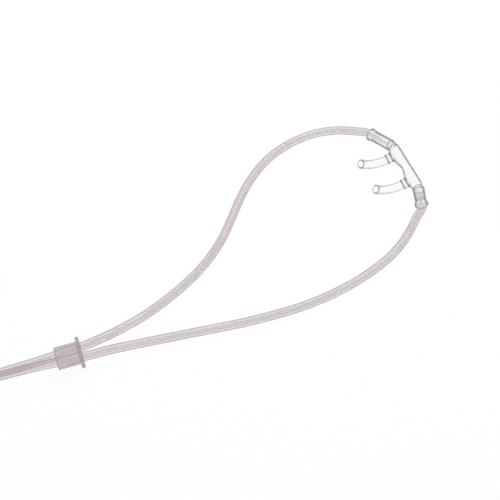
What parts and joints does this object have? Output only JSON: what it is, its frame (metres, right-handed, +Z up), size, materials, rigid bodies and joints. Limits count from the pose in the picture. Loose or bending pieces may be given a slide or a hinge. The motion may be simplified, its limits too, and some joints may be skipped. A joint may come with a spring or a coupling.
{
  "type": "nasal oxygen cannula",
  "caption": "Clear nasal oxygen cannula: two curved prongs on a soft strap, a loop of two tubes with a sliding sleeve, a Y connector and a coiled supply tube.",
  "frame": {"origin": "on the floor below the middle of the nasal piece's bounding box", "axes": "+X along the nasal piece from its left socket to its right socket, -Y the way the prongs point, +Z up"},
  "size_m": [0.1174, 0.3395, 0.0213],
  "materials": {
    "nasal_vinyl": "soft clear vinyl with a faint pink-grey tint",
    "tube_vinyl": "clear flexible vinyl tube",
    "slider_vinyl": "clear turned-looking vinyl sleeve",
    "connector_vinyl": "clear moulded vinyl",
    "funnel_vinyl": "soft milky vinyl funnel",
    "tie": "flat white band"
  },
  "bodies": {
    "root": {"nasal_piece": "nasal_vinyl", "tube_left": "tube_vinyl", "tube_right": "tube_vinyl", "y_connector": "connector_vinyl", "supply_lead": "tube_vinyl", "supply_coil": "tube_vinyl", "supply_tail": "tube_vinyl", "end_connector": "funnel_vinyl", "coil_tie": "tie"},
    "slider": {"slider": "slider_vinyl"}
  },
  "joints": [
    {"name": "slider_slide", "type": "slide", "parent": "root", "child": "slider", "axis": [-0.0698, -0.9976, 0], "range_m": [0, 0.05]}
  ]
}
